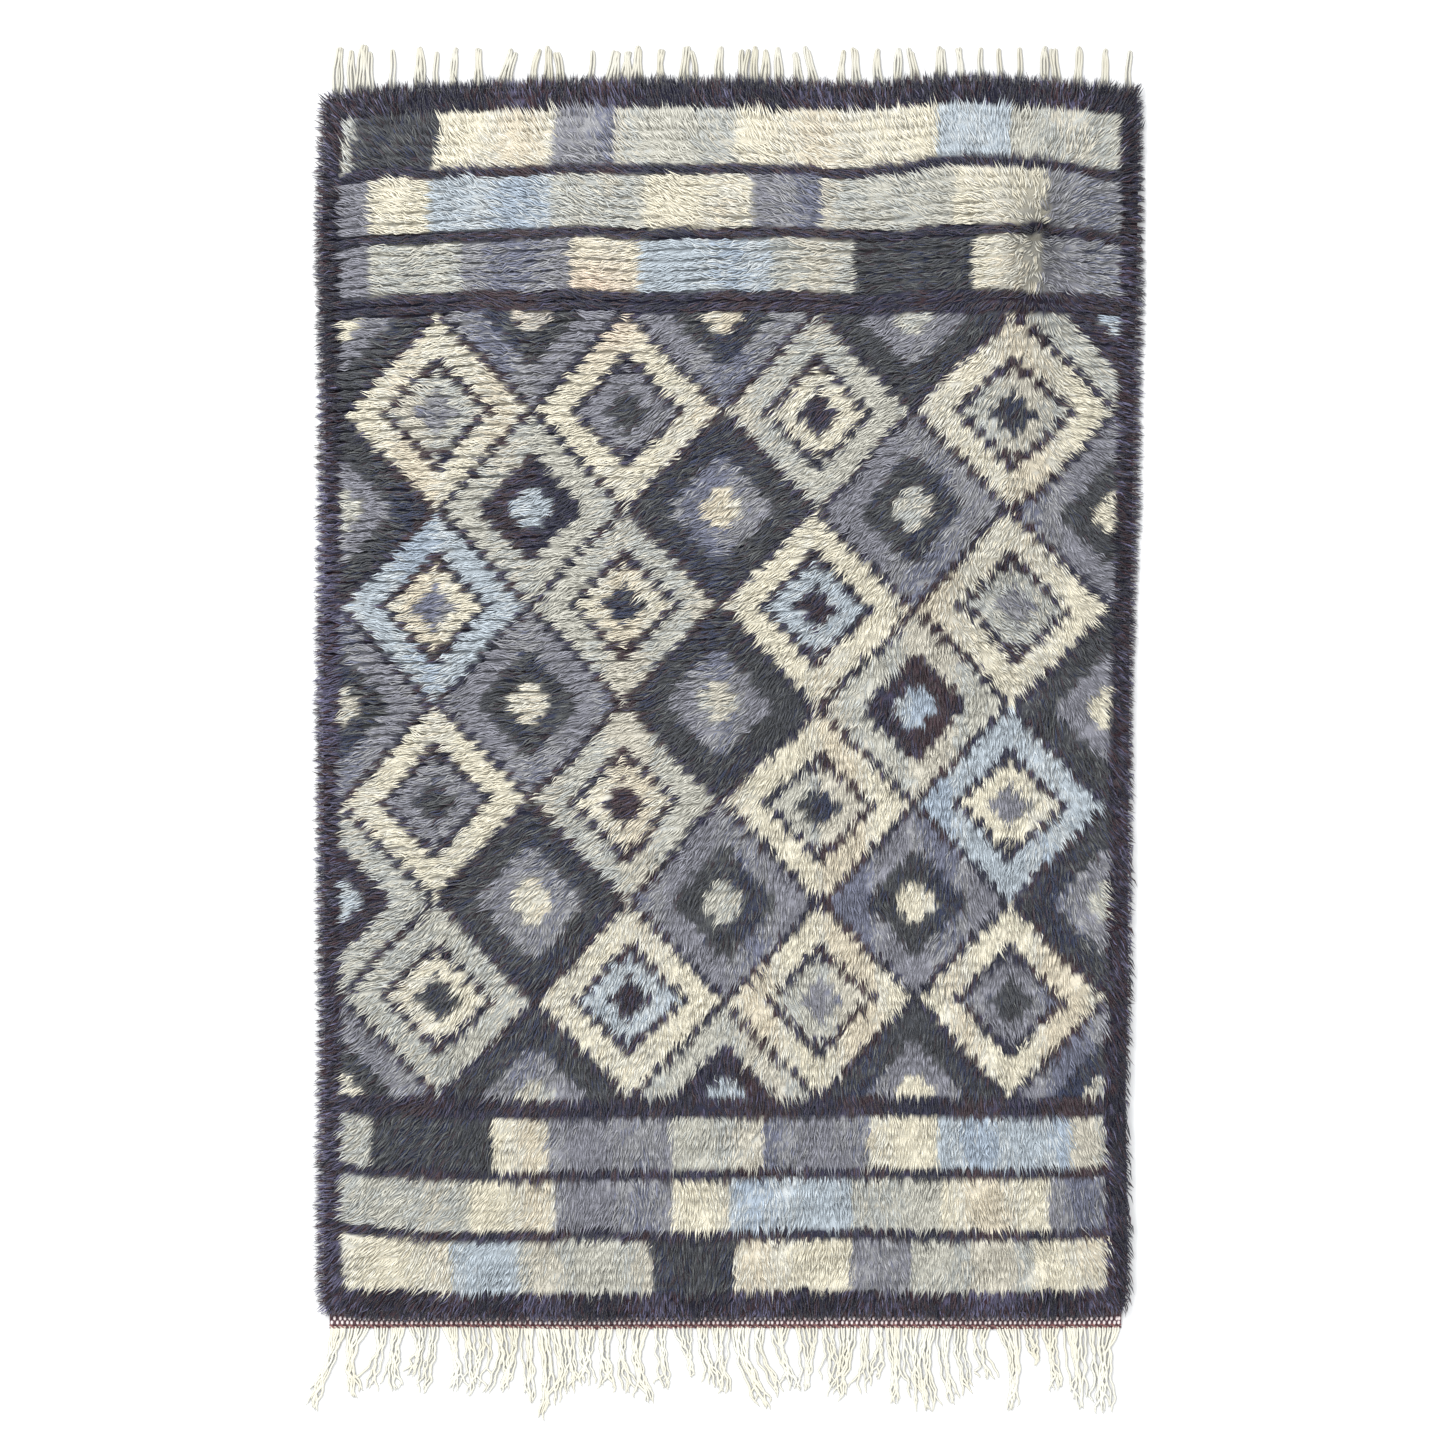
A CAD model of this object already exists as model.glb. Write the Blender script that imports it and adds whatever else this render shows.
# %% [markdown]
# # A rya rug, strand by strand
#
# A rya rug is a woven ground with rows of long wool knots on it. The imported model
# gives the place and size of each part as a fixed frame. This lesson dresses that
# frame with strands of wool, woven cloth, a twined cord and two cotton fringes.
# The box of the bare frame is kept, to compare it with the dressed rug at the end.

# %% Load the frame
import math
from collections import namedtuple

import bmesh
import bpy
import numpy as np
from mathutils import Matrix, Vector


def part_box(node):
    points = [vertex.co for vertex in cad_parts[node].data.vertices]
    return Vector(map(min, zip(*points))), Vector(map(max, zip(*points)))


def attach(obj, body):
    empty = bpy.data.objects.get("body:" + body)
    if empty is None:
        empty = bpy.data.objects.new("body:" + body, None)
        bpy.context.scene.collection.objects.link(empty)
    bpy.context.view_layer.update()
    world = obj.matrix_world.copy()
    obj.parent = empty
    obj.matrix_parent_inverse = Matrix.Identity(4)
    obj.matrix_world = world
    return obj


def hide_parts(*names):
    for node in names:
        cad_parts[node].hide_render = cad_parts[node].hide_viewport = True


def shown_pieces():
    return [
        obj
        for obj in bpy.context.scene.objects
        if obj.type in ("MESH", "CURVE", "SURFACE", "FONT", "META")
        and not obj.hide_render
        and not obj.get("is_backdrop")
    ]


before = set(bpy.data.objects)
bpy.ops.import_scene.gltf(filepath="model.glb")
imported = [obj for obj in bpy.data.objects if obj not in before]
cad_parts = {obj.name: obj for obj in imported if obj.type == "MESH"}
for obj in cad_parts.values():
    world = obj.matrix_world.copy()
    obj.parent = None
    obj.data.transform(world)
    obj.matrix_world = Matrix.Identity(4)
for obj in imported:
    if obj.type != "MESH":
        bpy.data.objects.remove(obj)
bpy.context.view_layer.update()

# %% [markdown]
# ## Where the photo's middle lies
#
# Places on the rug are given from the middle of the photo, in metres. The frame
# has its own middle, a few millimetres away. The cord and the lower edge of the
# weave are easy to find in both, so they give the step from one to the other.

# %% Measure the step from the photo's middle to the frame's
WEAVE_LOWER_Y = -0.869
CORD_LEFT_X = -0.579

ground_low, ground_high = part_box("ground_weave")
cord_low, cord_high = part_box("twined_cord")
PHOTO_X = cord_low.x - CORD_LEFT_X
PHOTO_Y = ground_low.y - WEAVE_LOWER_Y
print("photo's middle in mm", round(1000 * PHOTO_X, 1), round(1000 * PHOTO_Y, 1))

# %% [markdown]
# ## Camera
#
# The rug was seen from straight above. A camera with no turn looks down -Z with +Y
# up in the picture. It hangs high with a long lens, so the pile's height hardly
# shifts anything. The lens follows from the width that the picture covers.

# %% Hang the camera
PICTURE_WIDTH = 2.1185
CAMERA_HEIGHT = 8.0
SENSOR_WIDTH = 36.0

camera_data = bpy.data.cameras.new("camera")
camera_data.sensor_width = SENSOR_WIDTH
camera_data.lens = SENSOR_WIDTH * CAMERA_HEIGHT / PICTURE_WIDTH
camera = bpy.data.objects.new("camera", camera_data)
camera.location = (PHOTO_X, PHOTO_Y, CAMERA_HEIGHT)
bpy.context.scene.collection.objects.link(camera)
bpy.context.scene.camera = camera
print("lens in mm", round(camera_data.lens, 1))

# %% [markdown]
# ## Floor and light
#
# The floor is a plain pale plane just under the rug. A bright sky gives soft light
# from all round, and one broad lamp from the upper left gives the strands a lit
# and a shaded side. The plain view transform keeps the pale floor nearly white.

# %% Lay the floor
FLOOR_HALF = 20.0
FLOOR_DROP = 0.0004


def object_from(shape, name, materials=()):
    """Turns a finished bmesh into an object of the scene."""
    mesh = bpy.data.meshes.new(name)
    shape.to_mesh(mesh)
    shape.free()
    for material in materials:
        mesh.materials.append(material)
    piece = bpy.data.objects.new(name, mesh)
    bpy.context.scene.collection.objects.link(piece)
    return piece


floor_paint = bpy.data.materials.new("floor_paint")
floor_paint.use_nodes = True
floor_shader = floor_paint.node_tree.nodes["Principled BSDF"]
floor_shader.inputs["Base Color"].default_value = (0.9, 0.9, 0.9, 1)
floor_shader.inputs["Roughness"].default_value = 0.9
floor_shader.inputs["Specular IOR Level"].default_value = 0.1

floor_shape = bmesh.new()
bmesh.ops.create_grid(floor_shape, x_segments=1, y_segments=1, size=FLOOR_HALF)
bmesh.ops.translate(floor_shape, verts=floor_shape.verts, vec=(0, 0, -FLOOR_DROP))
floor = object_from(floor_shape, "floor", [floor_paint])
floor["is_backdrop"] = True

# %% Light the sky and the lamp
SKY_STRENGTH = 1.15
LAMP_PLACE = Vector((-3.0, 3.2, 5.0))
LAMP_SIZE = 3.0
LAMP_WATTS = 300

world = bpy.data.worlds.new("studio")
world.use_nodes = True
sky = world.node_tree.nodes["Background"]
sky.inputs["Color"].default_value = (0.97, 0.985, 1.0, 1)
sky.inputs["Strength"].default_value = SKY_STRENGTH
bpy.context.scene.world = world
bpy.context.scene.view_settings.view_transform = "Standard"

lamp_data = bpy.data.lights.new("lamp", "AREA")
lamp_data.size = LAMP_SIZE
lamp_data.energy = LAMP_WATTS
lamp = bpy.data.objects.new("lamp", lamp_data)
lamp.location = LAMP_PLACE
lamp.rotation_euler = (-LAMP_PLACE).to_track_quat("-Z", "Y").to_euler()
lamp.visible_camera = False
bpy.context.scene.collection.objects.link(lamp)
print("lamp distance in m", round(LAMP_PLACE.length, 2))

# %% [markdown]
# ## One strand to copy
#
# Wool strands, fringe threads and plies are all thin tubes, so each is a copy of
# one small tube. It is drawn upwards ring by ring from a small circle, and its tip
# is merged to a point or closed flat. The tube has few faces, because it is
# repeated thousands of times. Two maps are stored with it: one runs round and
# along the strand, and one fills a square, which each copy later gets for itself.

# %% Model the strand that is copied
Strand = namedtuple("Strand", "points ring loops starts around square")
TURN = 2 * math.pi


def new_of(kind, result):
    return [item for item in result["geom"] if isinstance(item, kind)]


def map_strand(shape, rings):
    """Notes a place round and along the strand, and one in a square, for each corner."""
    around, square = [], []
    for face in shape.faces:
        middle = face.calc_center_median()
        end_cap = len({round(vert.co.z) for vert in face.verts}) == 1
        facing = math.atan2(middle.y, middle.x) / TURN
        for vert in face.verts:
            x, y, z = vert.co
            turned = facing if math.hypot(x, y) < 0.01 else math.atan2(y, x) / TURN
            turned += round(facing - turned)
            along = z / (rings - 1)
            around.append((turned, along))
            if end_cap:
                square.append((0.3 + 0.4 * along + 0.15 * x, 0.07 + 0.05 * y))
            else:
                square.append((0.05 + 0.9 * (turned + 0.75) / 1.5, 0.16 + 0.8 * along))
    return np.array(around), np.array(square)


def model_strand(sides, rings, pointed):
    """A tube of unit radius along +Z, with one ring at each whole height."""
    shape = bmesh.new()
    bmesh.ops.create_circle(shape, cap_ends=True, segments=sides, radius=1)
    edges = list(shape.edges)
    for _ in range(rings - 1):
        grown = bmesh.ops.extrude_edge_only(shape, edges=edges)
        verts = new_of(bmesh.types.BMVert, grown)
        bmesh.ops.translate(shape, verts=verts, vec=(0, 0, 1))
        edges = [edge for edge in new_of(bmesh.types.BMEdge, grown) if edge.is_boundary]
    if pointed:
        bmesh.ops.pointmerge(shape, verts=verts, merge_co=(0, 0, rings - 1))
    else:
        bmesh.ops.contextual_create(shape, geom=edges)
    bmesh.ops.recalc_face_normals(shape, faces=shape.faces)
    shape.verts.index_update()
    points = np.array([vert.co for vert in shape.verts])
    around, square = map_strand(shape, rings)
    loops = np.array([vert.index for face in shape.faces for vert in face.verts])
    starts = np.cumsum([0] + [len(face.verts) for face in shape.faces])[:-1]
    shape.free()
    ring = np.rint(points[:, 2]).astype(int)
    return Strand(points[:, :2], ring, loops, starts, around, square)


wool_strand = model_strand(sides=3, rings=3, pointed=True)
print("corners and faces of a wool strand", len(wool_strand.ring), len(wool_strand.starts))

# %% [markdown]
# ## Many strands in one mesh
#
# Arrays place the copies much faster than a loop over objects does. Each strand
# has a middle line with one point for each ring. Two directions square to that
# line turn the ring's flat corners into points in space, and all copies go into
# one mesh. A colour for each point is stored as an attribute for the material.


# %% Join copies of a strand into one mesh
def unit(vectors):
    return vectors / np.linalg.norm(vectors, axis=-1, keepdims=True)


def strand_points(strand, lines, radii, rolls, flatness):
    """Corners of all copies: lines is copies x rings x 3, radii is copies x rings."""
    ahead = unit(np.gradient(lines, axis=1))
    side = unit(np.cross((0, 0, 1), ahead))
    lift = np.cross(ahead, side)
    cos, sin = np.cos(rolls)[:, None, None], np.sin(rolls)[:, None, None]
    across, up = side * cos + lift * sin, lift * cos - side * sin
    ring = strand.ring
    out = across[:, ring] * strand.points[None, :, 0, None]
    out += up[:, ring] * strand.points[None, :, 1, None]
    middle = ahead[:, ring]
    out -= middle * np.sum(out * middle, axis=-1, keepdims=True)
    out[..., 2] *= flatness
    return lines[:, ring] + out * radii[:, ring, None]


def fill_mesh(name, strand, points, colours, material):
    """One object that holds every copy. colours is copies x rings x 3, or None."""
    copies, corners = points.shape[:2]
    number = np.arange(copies)[:, None]
    mesh = bpy.data.meshes.new(name)
    mesh.vertices.add(copies * corners)
    mesh.vertices.foreach_set("co", points.astype(np.float32).ravel())
    loops = (strand.loops[None] + corners * number).ravel()
    mesh.loops.add(len(loops))
    mesh.loops.foreach_set("vertex_index", loops.astype(np.int32))
    starts = (strand.starts[None] + len(strand.loops) * number).ravel()
    mesh.polygons.add(len(starts))
    mesh.polygons.foreach_set("loop_start", starts.astype(np.int32))
    mesh.polygons.foreach_set("use_smooth", np.ones(len(starts), bool))
    mesh.update(calc_edges=True)
    around = mesh.uv_layers.new(name="along_strand")
    around.data.foreach_set("uv", np.tile(strand.around, (copies, 1)).ravel())
    tiles = math.ceil(math.sqrt(copies))
    place = np.concatenate([number % tiles, number // tiles], axis=1)
    square = (strand.square[None] + place[:, None]) / tiles
    mesh.uv_layers.new(name="OFBake").data.foreach_set("uv", square.ravel())
    if colours is not None:
        painted = np.ones((copies, corners, 4))
        painted[..., :3] = colours[:, strand.ring]
        layer = mesh.color_attributes.new("wool_colour", "FLOAT_COLOR", "POINT")
        layer.data.foreach_set("color", painted.astype(np.float32).ravel())
    mesh.materials.append(material)
    piece = bpy.data.objects.new(name, mesh)
    bpy.context.scene.collection.objects.link(piece)
    return piece


# %% [markdown]
# ## Outline of the pile
#
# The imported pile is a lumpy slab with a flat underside, whose rim gives the
# outline. For a line across the rug, the rim points near that line give the left
# and right edge, and the same is done for the ends. A knot's share of the width
# and of the length then tells where it stands.

# %% Read the outline from the frame
PILE_LIFT = 0.0003
WINDOW = 0.026
STATIONS = 45
RIGHT_INSET_Y = (-0.85, -0.54, -0.40, 0.15, 0.35)
RIGHT_INSET = (0.004, 0.009, 0.006, 0.003, 0.0)

pile_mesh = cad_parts["pile"].data
pile_points = np.empty(3 * len(pile_mesh.vertices), np.float32)
pile_mesh.vertices.foreach_get("co", pile_points)
pile_points = pile_points.reshape(-1, 3)
underside = ground_high.z + PILE_LIFT
rim = pile_points[np.abs(pile_points[:, 2] - underside) < 2e-5]
print("rim points", len(rim))


def edge_near(along, across, place, pick):
    """The outermost rim value across, within a window round a place along."""
    place = np.clip(place, rim[:, along].min() + WINDOW, rim[:, along].max() - WINDOW)
    near = np.abs(rim[:, along] - place) < WINDOW
    return pick(rim[near, across])


line_y = np.linspace(rim[:, 1].min(), rim[:, 1].max(), STATIONS)
line_x = np.linspace(rim[:, 0].min(), rim[:, 0].max(), STATIONS)
left_edge = [edge_near(1, 0, y, np.min) for y in line_y]
right_edge = [edge_near(1, 0, y, np.max) for y in line_y]
right_edge = right_edge - np.interp(line_y - PHOTO_Y, RIGHT_INSET_Y, RIGHT_INSET)
lower_edge = [edge_near(0, 1, x, np.min) for x in line_x]
upper_edge = [edge_near(0, 1, x, np.max) for x in line_x]


def pile_place(across, along):
    """Where a knot stands, from its shares of the width and of the length."""
    rough_y = line_y[0] + along * (line_y[-1] - line_y[0])
    left = np.interp(rough_y, line_y, left_edge)
    right = np.interp(rough_y, line_y, right_edge)
    x = left + across * (right - left)
    lower = np.interp(x, line_x, lower_edge)
    upper = np.interp(x, line_x, upper_edge)
    return x, lower + along * (upper - lower)


def pile_shares(x, y):
    """The way back: the shares of the width and of the length at a place."""
    left, right = np.interp(y, line_y, left_edge), np.interp(y, line_y, right_edge)
    lower, upper = np.interp(x, line_x, lower_edge), np.interp(x, line_x, upper_edge)
    return (x - left) / (right - left), (y - lower) / (upper - lower)


def beyond_rim(x, y):
    """How far a point hangs over the sides and over the ends of the pile."""
    left, right = np.interp(y, line_y, left_edge), np.interp(y, line_y, right_edge)
    lower, upper = np.interp(x, line_x, lower_edge), np.interp(x, line_x, upper_edge)
    sides = np.maximum(np.maximum(left - x, x - right), 0)
    ends = np.maximum(np.maximum(lower - y, y - upper), 0)
    return sides, ends


# %% [markdown]
# ## Which way the wool lies
#
# Wool this long lies down, and use has combed it: upwards at the top, to the left
# in the left half, down in the lower right part, and outwards at every edge. The
# chart holds the direction in degrees, counter-clockwise from the right, at a few
# places. Between them the directions are blended as arrows, because angles on
# both sides of 0 would blend to the wrong side. Where arrows cancel out, the
# blended arrow is short, and there the wool stands up instead of lying down.

# %% Chart the lie of the wool
COMB_X = (-0.590, -0.477, -0.331, -0.186, -0.040, 0.106, 0.251, 0.397, 0.499, 0.593)
Comb = namedtuple("Comb", "y degrees")
COMBED = (
    Comb(-0.855, (228, 240, 250, 262, 268, 268, 270, 272, 282, 298)),
    Comb(-0.746, (208, 222, 240, 258, 266, 268, 270, 272, 284, 292)),
    Comb(-0.615, (203, 232, 248, 262, 268, 270, 270, 272, 284, 288)),
    Comb(-0.455, (198, 225, 245, 260, 268, 270, 270, 272, 286, 294)),
    Comb(-0.295, (192, 205, 228, 245, 262, 268, 270, 270, 285, 305)),
    Comb(-0.149, (187, 190, 200, 210, 225, 265, 268, 270, 285, 315)),
    Comb(0.011, (185, 186, 190, 198, 205, 255, 268, 270, 285, 325)),
    Comb(0.157, (184, 185, 190, 195, 195, 215, 260, 330, 305, 345)),
    Comb(0.302, (183, 184, 192, 205, 205, 205, 215, 235, 300, 355)),
    Comb(0.433, (182, 182, 185, 200, 215, 225, 205, 255, 330, 345)),
    Comb(0.564, (180, 180, 178, 185, 205, 200, 205, 235, 330, 340)),
    Comb(0.681, (180, 180, 180, 178, 185, 185, 190, 195, 345, 355)),
    Comb(0.761, (170, 165, 168, 165, 165, 160, 155, 165, 30, 5)),
    Comb(0.826, (150, 135, 138, 142, 145, 145, 145, 100, 65, 20)),
    Comb(0.892, (135, 110, 112, 118, 120, 125, 120, 95, 80, 45)),
    Comb(0.940, (115, 92, 88, 88, 88, 86, 86, 84, 80, 55)),
)


def blend_chart(chart, x, y):
    """Values of a chart of numbers at places on the rug, blended between its points."""
    column = np.interp(x - PHOTO_X, COMB_X, range(len(COMB_X)))
    row = np.interp(y - PHOTO_Y, [comb.y for comb in COMBED], range(len(COMBED)))
    left = np.minimum(column.astype(int), len(COMB_X) - 2)
    low = np.minimum(row.astype(int), len(COMBED) - 2)
    right_share, up_share = column - left, row - low
    lower = chart[low, left] * (1 - right_share) + chart[low, left + 1] * right_share
    upper = chart[low + 1, left] * (1 - right_share) + chart[low + 1, left + 1] * right_share
    return lower * (1 - up_share) + upper * up_share


def lie_of_wool(x, y):
    """Direction of the wool in radians, and how well it is combed, from 0 to 1."""
    chart = np.radians([comb.degrees for comb in COMBED])
    up, right = blend_chart(np.sin(chart), x, y), blend_chart(np.cos(chart), x, y)
    return np.arctan2(up, right), np.minimum(np.hypot(up, right), 1)


# %% [markdown]
# ## Slow ripples
#
# Hand work wanders slowly: rows bend a little, the dye changes from one hank to
# the next, and tufts swirl. A few sine waves in seeded directions add up to such
# a ripple, which is smooth, cheap and the same on each run.


# %% Make a slow ripple
def ripple(x, y, length, seed, waves=7):
    """A smooth value of about -1 to 1 that changes over a given length."""
    draw = np.random.default_rng(seed)
    total = np.zeros(np.shape(x))
    for _ in range(waves):
        turn, shift = draw.uniform(0, TURN, 2)
        pace = TURN / (length * draw.uniform(0.6, 1.6))
        total += np.sin(pace * (x * math.cos(turn) + y * math.sin(turn)) + shift)
    return total / math.sqrt(waves)


# %% [markdown]
# ## Dyed wools
#
# Each colour area of a rya mixes a few shades, because a knot is tied from several
# yarns at once. Each wool here is a short list of shades as they look on the rug,
# with the share of strands that have them. Screen colours are turned into linear
# light for the material.

# %% List the wools
Shade = namedtuple("Shade", "share red green blue")
WOOLS = {
    "border": (
        Shade(0.45, 37, 37, 52),
        Shade(0.39, 61, 43, 49),
        Shade(0.16, 92, 89, 114),
    ),
    "cream": (
        Shade(0.50, 229, 223, 204),
        Shade(0.28, 222, 219, 207),
        Shade(0.22, 222, 213, 193),
    ),
    "pale_grey": (
        Shade(0.45, 204, 202, 191),
        Shade(0.27, 190, 192, 188),
        Shade(0.28, 211, 206, 192),
    ),
    "sky": (
        Shade(0.50, 188, 197, 204),
        Shade(0.30, 201, 206, 208),
        Shade(0.20, 175, 187, 200),
    ),
    "lavender": (
        Shade(0.50, 142, 142, 151),
        Shade(0.30, 161, 161, 164),
        Shade(0.20, 121, 124, 142),
    ),
    "charcoal": (
        Shade(0.42, 71, 73, 78),
        Shade(0.26, 96, 98, 98),
        Shade(0.17, 63, 52, 58),
        Shade(0.15, 56, 62, 84),
    ),
    "navy": (
        Shade(0.45, 48, 49, 66),
        Shade(0.25, 76, 72, 94),
        Shade(0.30, 68, 53, 58),
    ),
}
WOOL_NAMES = list(WOOLS)


def linear(screen):
    """Screen colour values of 0 to 255 as linear light."""
    share = np.asarray(screen, float) / 255
    return np.where(share <= 0.04045, share / 12.92, ((share + 0.055) / 1.055) ** 2.4)


def wool(name):
    return WOOL_NAMES.index(name)


# %% [markdown]
# ## Pattern
#
# The pattern is charted on the knots, as a weaver would do it: a dark border, a
# panel of staggered bars at each end, and between them a trellis of stepped
# diamonds. A knot's diamond follows from one number, which is 0 at the diamond's
# middle and 1 at its edge. Past 1 the knot belongs to the diamonds between.

# %% Chart the pattern
COLUMNS = 166
ROWS = 120
BORDER_COLUMNS = 5
BORDER_ROWS = 3
PANEL_ROWS = 18
DIVIDER_ROWS = 1
BAR_ROWS = 6
BAR_LENGTHS = (22, 14, 27, 17, 24, 12, 25, 19)
BAR_WOOLS = (
    "cream",
    "sky",
    "pale_grey",
    "charcoal",
    "cream",
    "lavender",
    "pale_grey",
    "cream",
    "lavender",
)
DIAMONDS_ACROSS = 4
DIAMOND_COLUMNS = 39
DIAMOND_ROWS = 19

Diamond = namedtuple("Diamond", "core inner outer")
LIGHT_DIAMONDS = (
    Diamond("charcoal", "cream", "pale_grey"),
    Diamond("navy", "sky", "cream"),
    Diamond("lavender", "pale_grey", "cream"),
    Diamond("charcoal", "lavender", "cream"),
    Diamond("navy", "cream", "pale_grey"),
    Diamond("charcoal", "pale_grey", "cream"),
    Diamond("lavender", "cream", "sky"),
)
DARK_DIAMONDS = (
    Diamond("cream", "charcoal", "lavender"),
    Diamond("pale_grey", "lavender", "charcoal"),
    Diamond("sky", "navy", "pale_grey"),
    Diamond("cream", "lavender", "charcoal"),
    Diamond("pale_grey", "charcoal", "lavender"),
)
LIGHT_RINGS = (0.25, 0.47, 0.58, 0.95)
DARK_RINGS = (0.27, 0.58, 0.94)


def bar_wools(column, row):
    """Staggered bars, with a dark row after each stripe of them."""
    stripe = row // BAR_ROWS
    place = (column + 37 * stripe) % sum(BAR_LENGTHS)
    bar = np.searchsorted(np.cumsum(BAR_LENGTHS), place, side="right")
    listed = np.array([wool(name) for name in BAR_WOOLS])
    bars = listed[(bar + 4 * stripe) % len(listed)]
    return np.where(row % BAR_ROWS == BAR_ROWS - 1, wool("navy"), bars)


def ringed(diamonds, listed, distance, rings):
    """Wools of nested rings. What lies past the last ring is the trellis."""
    chart = np.array([
        [wool(diamond.core), wool(diamond.inner), wool(diamond.outer)] for diamond in diamonds
    ])
    if len(rings) == 4:
        chart = np.insert(chart, 2, wool("navy"), axis=1)
    chart = np.insert(chart, len(rings), wool("navy"), axis=1)
    return chart[listed % len(diamonds), np.searchsorted(rings, distance, side="right")]


def diamond_wools(column, row):
    """A trellis with ringed light diamonds, and darker ones where their points meet."""
    aside = np.abs(column % DIAMOND_COLUMNS - DIAMOND_COLUMNS // 2) * 2 / DIAMOND_COLUMNS
    above = np.abs(row % DIAMOND_ROWS - DIAMOND_ROWS // 2) * 2 / DIAMOND_ROWS
    distance = aside + above
    light = ringed(
        LIGHT_DIAMONDS,
        column // DIAMOND_COLUMNS + 3 * (row // DIAMOND_ROWS),
        distance,
        LIGHT_RINGS,
    )
    between = (column + DIAMOND_COLUMNS // 2) // DIAMOND_COLUMNS
    between = between + 2 * ((row + DIAMOND_ROWS // 2) // DIAMOND_ROWS)
    dark = ringed(DARK_DIAMONDS, between, 2 - distance, DARK_RINGS)
    return np.where(distance < 1, light, dark)


def pattern(column, row):
    """The wool of each knot, as its place in the list of wools."""
    inner_column, inner_row = column - BORDER_COLUMNS, row - BORDER_ROWS
    field_start = BORDER_ROWS + PANEL_ROWS + DIVIDER_ROWS
    field_end = ROWS - field_start
    from_top = ROWS - BORDER_ROWS - 1 - row
    found = bar_wools(inner_column, inner_row)
    found = np.where(row >= ROWS // 2, bar_wools(inner_column + 61, from_top), found)
    in_field = (row >= field_start) & (row < field_end)
    found = np.where(in_field, diamond_wools(inner_column, row - field_start), found)
    below = (row >= field_start - DIVIDER_ROWS) & (row < field_start)
    above = (row >= field_end) & (row < field_end + DIVIDER_ROWS)
    found = np.where(below | above, wool("navy"), found)
    at_side = np.minimum(column, COLUMNS - 1 - column) < BORDER_COLUMNS
    at_end = np.minimum(row, ROWS - 1 - row) < BORDER_ROWS
    return np.where(at_side | at_end, wool("border"), found)


# %% [markdown]
# ## Colour of a strand
#
# A strand takes one of its wool's shades by its share. The draw is nudged by a
# ripple that is stretched along the rug, so that neighbouring hanks differ in
# upright bands, which weavers call abrash. Light areas also have a few faint
# peach stains. Each strand and each knot is a little lighter or darker.

# %% Colour the strands
Stain = namedtuple("Stain", "x y radius strength")
STAINS = (
    Stain(-0.185, 0.610, 0.060, 0.60),
    Stain(-0.055, 0.655, 0.045, 0.45),
    Stain(-0.290, 0.640, 0.040, 0.40),
    Stain(0.330, 0.560, 0.030, 0.25),
)
STAIN_COLOUR = (222, 190, 168)
LEFT_SIDE_PICK = 0.12
UPPER_END_PICK = -0.20
WOOL_GAIN = 1.16
MIXING = 0.14
DARK_MIXING = 0.42


def shade_colours(wools, x, y, draw):
    """A linear colour for each strand, from its wool and its place."""
    dark = np.isin(wools, [wool("border"), wool("navy"), wool("charcoal")])
    mixing = np.where(dark, DARK_MIXING, MIXING)
    pick = 0.5 + 0.40 * ripple(3.2 * x, 0.35 * y, 0.30, seed=11)
    bordered = wools == wool("border")
    pick = pick + LEFT_SIDE_PICK * (bordered & (x < PHOTO_X - 0.53))
    pick = pick + UPPER_END_PICK * (bordered & (y > PHOTO_Y + 0.86))
    pick = np.clip(pick + mixing * draw.standard_normal(len(x)), 0, 0.999)
    colours = np.empty((len(x), 3))
    for number, name in enumerate(WOOL_NAMES):
        shades = WOOLS[name]
        here = wools == number
        chosen = np.searchsorted(np.cumsum([s.share for s in shades]), pick[here], side="right")
        listed = linear([[s.red, s.green, s.blue] for s in shades])
        colours[here] = listed[np.minimum(chosen, len(shades) - 1)]
    light = np.isin(wools, [wool("cream"), wool("pale_grey")])
    for stain in STAINS:
        away = np.hypot(x - PHOTO_X - stain.x, y - PHOTO_Y - stain.y) / stain.radius
        amount = (stain.strength * np.exp(-(away**2)) * light)[:, None]
        colours = colours * (1 - amount) + linear(STAIN_COLOUR) * amount
    return np.clip(WOOL_GAIN * colours, 0, 0.94)


# %% [markdown]
# ## Material of the wool
#
# The colour comes from the attribute. Across it run two things that wool shows up
# close: the slanted stripes of its twist, drawn from the map round the strand, and
# fine uneven fibres from a noise. Both also drive the bump. Sheen gives the soft
# rim light of wool, and hardly any gloss is left.


# %% Spin the wool material
def principled(name, roughness, sheen):
    """A fibre material and its shader. Values that are the same all over go here."""
    material = bpy.data.materials.new(name)
    material.use_nodes = True
    shader = material.node_tree.nodes["Principled BSDF"]
    shader.inputs["Roughness"].default_value = roughness
    shader.inputs["Sheen Weight"].default_value = sheen
    shader.inputs["Sheen Roughness"].default_value = 0.5
    shader.inputs["Specular IOR Level"].default_value = 0.15
    return material, shader


def node(tree, kind, **settings):
    """Adds a shader node. Settings are its own values, such as operation."""
    made = tree.nodes.new(kind)
    for key, value in settings.items():
        setattr(made, key, value)
    return made


def math_node(tree, operation, first, second=None):
    """A sum of two values, which are sockets or numbers, as a socket."""
    made = node(tree, "ShaderNodeMath", operation=operation)
    for place, value in enumerate((first, second)):
        if value is None:
            continue
        if isinstance(value, bpy.types.NodeSocket):
            tree.links.new(value, made.inputs[place])
        else:
            made.inputs[place].default_value = value
    return made.outputs[0]


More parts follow.
